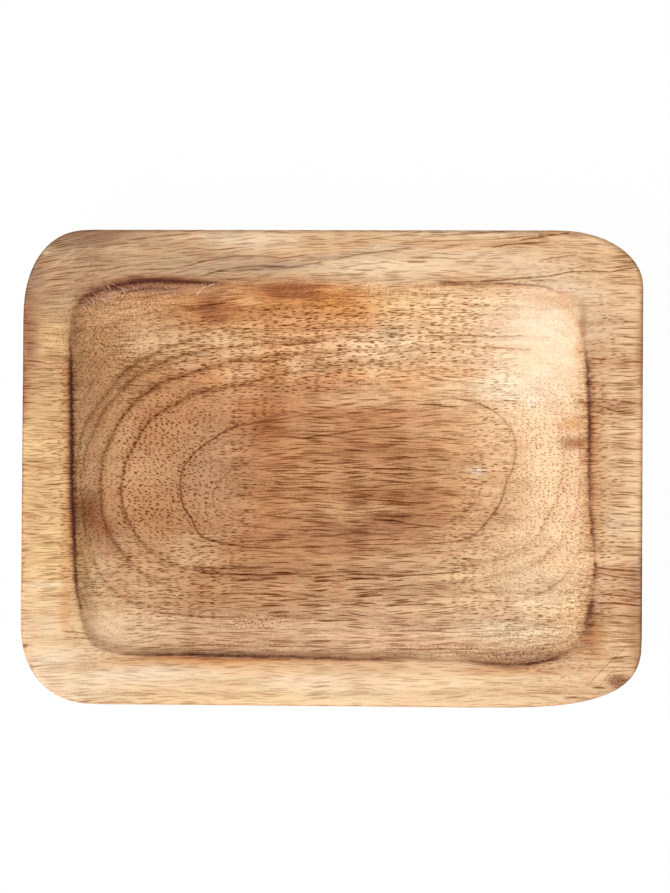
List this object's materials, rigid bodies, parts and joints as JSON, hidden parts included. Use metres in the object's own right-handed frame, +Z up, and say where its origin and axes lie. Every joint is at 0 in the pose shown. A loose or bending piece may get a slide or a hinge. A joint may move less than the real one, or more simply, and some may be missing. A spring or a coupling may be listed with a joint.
{
  "type": "soap dish",
  "caption": "Rectangular wooden soap dish with rounded corners, a flat rim and a carved hollow for a bar, standing on round pads.",
  "frame": {"origin": "middle of the footprint, on the surface that the pads stand on", "axes": "+X along the wood's grain and the dish's length, +Y across the dish to its back, +Z up out of the hollow"},
  "size_m": [0.1298, 0.0996, 0.022],
  "materials": {
    "wood": "bare sanded hardwood with dark pores, scorched brown along the hollow's edge",
    "pad_rubber": "soft pale translucent rubber, satin"
  },
  "bodies": {
    "root": {"dish_board": "wood", "pad_front_left": "pad_rubber", "pad_front_right": "pad_rubber", "pad_back_left": "pad_rubber", "pad_back_right": "pad_rubber"}
  },
  "joints": []
}
